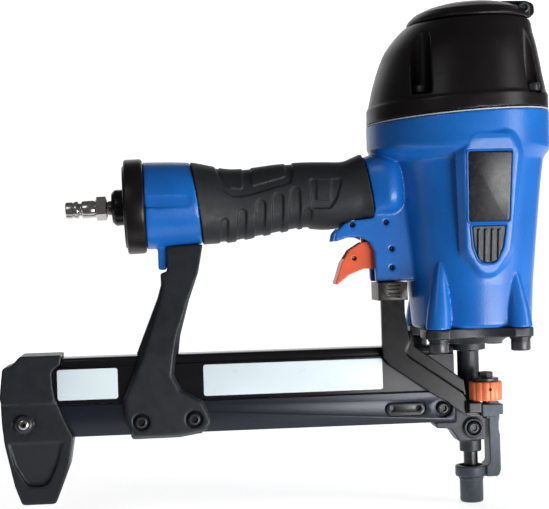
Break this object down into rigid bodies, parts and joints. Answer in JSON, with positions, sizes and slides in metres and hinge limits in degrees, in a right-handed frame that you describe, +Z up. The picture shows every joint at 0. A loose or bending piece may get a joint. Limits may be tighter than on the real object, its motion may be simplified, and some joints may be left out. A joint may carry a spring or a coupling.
{
  "type": "pneumatic concrete nailer",
  "caption": "Hand-held air nailer for concrete: barrel with head cap, rubber grip and air plug, straight nail magazine with foot, orange trigger and a spring-loaded contact nozzle.",
  "frame": {"origin": "centre of the bottom of the bounding box: level with the tip of the contact nozzle, on the middle plane", "axes": "+X forward from the air plug to the driving axis, +Y across the tool away from the nameplate shown, +Z up along the driving axis"},
  "size_m": [0.3779, 0.1262, 0.3439],
  "materials": {
    "paint": "satin blue powder coat with fine orange peel",
    "cap_plastic": "smooth black moulding",
    "seal": "thin pale gasket edge",
    "black_steel": "black oxide",
    "bright_steel": "bright zinc",
    "rubber": "fine matt grain",
    "nylon": "natural moulding",
    "cast_alloy": "dark grey cast and machined",
    "channel": "gloss black",
    "rail": "blued, drawn lengthwise",
    "grey_steel": "grey phosphate",
    "label": "blank white film",
    "plate": "blank black plate",
    "moulded_plastic": "charcoal, lightly textured",
    "orange_plastic": "satin orange",
    "wheel": "orange anodised, knurled"
  },
  "bodies": {
    "tool": {"housing": "paint", "head_cap": "cap_plastic", "exhaust_deflector": "cap_plastic", "end_cap": "cap_plastic", "cap_gasket": "seal", "cap_screw_1": "black_steel", "cap_screw_2": "black_steel", "cap_screw_3": "black_steel", "cap_screw_4": "black_steel", "drive_guide": "black_steel", "nose_screw": "black_steel", "base_screw_1": "black_steel", "base_screw_2": "black_steel", "base_screw_3": "black_steel", "base_screw_4": "black_steel", "magazine_screw": "black_steel", "bracket_screw_1": "black_steel", "bracket_screw_2": "black_steel", "boot_bolt": "black_steel", "boot_nut": "black_steel", "trigger_pin": "black_steel", "guide_pin": "black_steel", "block_pin": "black_steel", "valve_pin": "black_steel", "cylinder_liner": "bright_steel", "head_valve_spring": "bright_steel", "air_plug": "bright_steel", "trigger_valve": "bright_steel", "bumper": "rubber", "grip_sleeve": "rubber", "nose": "cast_alloy", "magazine_channel": "channel", "inlet_bushing": "channel", "magazine_rail": "rail", "latch_plate": "grey_steel", "rear_label": "label", "front_label": "label", "nameplate": "plate", "ribbed_insert": "moulded_plastic", "magazine_bracket": "moulded_plastic", "boot": "moulded_plastic", "arm_guide": "moulded_plastic"},
    "piston": {"piston": "nylon", "driver_blade": "bright_steel"},
    "head_valve": {"head_valve": "nylon"},
    "trigger": {"trigger": "orange_plastic", "lever_pin": "black_steel"},
    "trigger_lever": {"trigger_lever": "bright_steel"},
    "valve_stem": {"valve_stem": "bright_steel"},
    "safety": {"safety_arm": "black_steel"},
    "depth_wheel": {"depth_wheel": "wheel"},
    "contact_foot": {"safety_bracket": "grey_steel", "contact_nozzle": "grey_steel", "adjust_stud": "black_steel", "stud_washer": "black_steel"},
    "nail_pusher": {"nail_pusher": "black_steel", "pusher_spring": "bright_steel"}
  },
  "joints": [
    {"name": "piston_stroke", "type": "slide", "parent": "tool", "child": "piston", "axis": [0, 0, 1], "range_m": [-0.0875, 0]},
    {"name": "head_valve_lift", "type": "slide", "parent": "tool", "child": "head_valve", "axis": [0, 0, 1], "range_m": [0, 0.004], "stiffness_N_per_m": 2000, "springref_m": -0.005, "deforming": ["head_valve_spring"]},
    {"name": "trigger_pull", "type": "hinge", "parent": "tool", "child": "trigger", "pos_m": [0.0759, 0, 0.1757], "axis": [0, 1, 0], "range_deg": [0, 9], "stiffness_Nm_per_rad": 0.6, "springref_deg": -17.19},
    {"name": "lever_tilt", "type": "hinge", "parent": "trigger", "child": "trigger_lever", "pos_m": [0.0508, 0, 0.1699], "axis": [0, -1, 0], "range_deg": [0, 4]},
    {"name": "valve_stem_slide", "type": "slide", "parent": "tool", "child": "valve_stem", "axis": [0, 0, 1], "range_m": [0, 0.0015]},
    {"name": "safety_slide", "type": "slide", "parent": "tool", "child": "safety", "axis": [0, 0, 1], "range_m": [0, 0.0075], "stiffness_N_per_m": 1500, "springref_m": -0.03},
    {"name": "depth_wheel_turn", "type": "hinge", "parent": "safety", "child": "depth_wheel", "pos_m": [0.1366, -0.0176, 0.0716], "axis": [0, 0, 1], "range_deg": [-360, 0]},
    {"name": "depth_slide", "type": "slide", "parent": "safety", "child": "contact_foot", "axis": [0, 0, 1], "range_m": [0, 0.0015]},
    {"name": "pusher_slide", "type": "slide", "parent": "tool", "child": "nail_pusher", "axis": [1, 0, 0], "range_m": [-0.12, 0.12]}
  ],
  "couplings": [
    {"joint": "lever_tilt", "follows": "safety_slide", "rad_per_m": 8.7},
    {"joint": "valve_stem_slide", "follows": "trigger_pull", "m_per_rad": 0.0095},
    {"joint": "depth_wheel_turn", "follows": "depth_slide", "rad_per_m": -4188}
  ]
}
